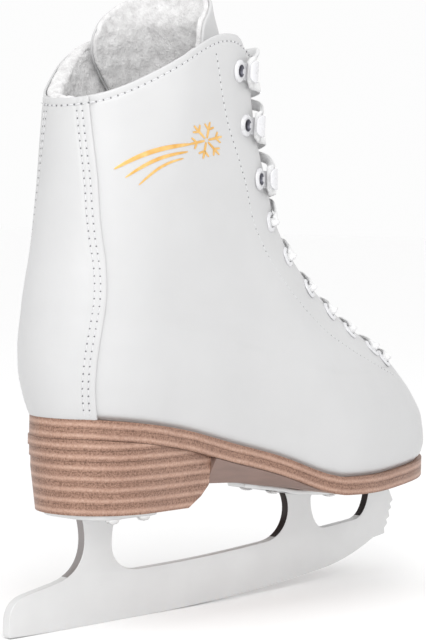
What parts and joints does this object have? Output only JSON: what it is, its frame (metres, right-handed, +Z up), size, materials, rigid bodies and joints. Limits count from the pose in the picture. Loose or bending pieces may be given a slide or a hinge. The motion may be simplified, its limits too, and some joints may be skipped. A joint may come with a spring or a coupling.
{
  "type": "figure skate",
  "caption": "Right figure skate: a laced white leather boot with a padded tongue, a stacked heel, and a steel blade with a toe pick on two plates.",
  "frame": {"origin": "middle of the flat stretch of the blade's edge on which the skate stands, in the blade's middle plane", "axes": "+X forward to the toe along the blade, +Y to the inner side of the foot, +Z up"},
  "size_m": [0.2823, 0.0874, 0.2766],
  "materials": {
    "white_leather": "smooth white coated leather, satin",
    "fleece": "brushed fleece, off-white",
    "foam": "open-cell padding foam",
    "insole_cloth": "cloth-topped footbed",
    "fibre_board": "pressed fibre board",
    "sole_edge": "stained sole edge with a fine grain, satin varnish",
    "waist_wedge": "stained underside, satin",
    "stacked_heel": "stacked heel, speckled red-brown with light layer lines, satin varnish",
    "plate_steel": "plated sheet steel",
    "blade_steel": "satin-ground steel",
    "fasteners": "plated domed heads",
    "white_enamel": "white enamel",
    "lace_cotton": "flat woven cotton lace",
    "aglet_plastic": "clear-white tipping film"
  },
  "bodies": {
    "boot": {"upper_shell": "white_leather", "back_panel": "white_leather", "facing_stay_outer": "white_leather", "facing_stay_inner": "white_leather", "boot_lining": "fleece", "heel_counter": "fibre_board", "toe_puff": "fibre_board", "insole": "insole_cloth", "lasting_board": "fibre_board", "shank": "plate_steel", "midsole": "sole_edge", "outsole": "sole_edge", "waist_wedge": "waist_wedge", "heel_lift_1": "stacked_heel", "heel_lift_2": "stacked_heel", "heel_lift_3": "stacked_heel", "heel_lift_4": "stacked_heel", "heel_lift_5": "stacked_heel", "heel_lift_6": "stacked_heel", "heel_lift_7": "stacked_heel", "heel_plate": "plate_steel", "sole_plate": "plate_steel", "blade": "blade_steel", "heel_rivet_1": "fasteners", "heel_rivet_2": "fasteners", "heel_rivet_3": "fasteners", "heel_rivet_4": "fasteners", "sole_screw_1": "fasteners", "sole_screw_2": "fasteners", "sole_screw_3": "fasteners", "sole_screw_4": "fasteners", "sole_screw_5": "fasteners", "sole_screw_6": "fasteners", "eyelet_outer_1": "white_enamel", "eyelet_outer_2": "white_enamel", "eyelet_outer_3": "white_enamel", "eyelet_outer_4": "white_enamel", "eyelet_outer_5": "white_enamel", "eyelet_outer_6": "white_enamel", "eyelet_outer_7": "white_enamel", "lace_hook_outer_1": "white_enamel", "lace_hook_outer_2": "white_enamel", "lace_hook_outer_3": "white_enamel", "eyelet_inner_1": "white_enamel", "eyelet_inner_2": "white_enamel", "eyelet_inner_3": "white_enamel", "eyelet_inner_4": "white_enamel", "eyelet_inner_5": "white_enamel", "eyelet_inner_6": "white_enamel", "eyelet_inner_7": "white_enamel", "lace_hook_inner_1": "white_enamel", "lace_hook_inner_2": "white_enamel", "lace_hook_inner_3": "white_enamel", "lace": "lace_cotton", "aglet_1": "aglet_plastic", "aglet_2": "aglet_plastic"},
    "tongue": {"tongue_skin": "white_leather", "tongue_foam": "foam", "tongue_fleece": "fleece"}
  },
  "joints": [
    {"name": "tongue_hinge", "type": "hinge", "parent": "boot", "child": "tongue", "pos_m": [0.198, 0, 0.096], "axis": [0, -1, 0], "range_deg": [0, 8], "stiffness_Nm_per_rad": 0.3, "springref_deg": -20.05}
  ]
}
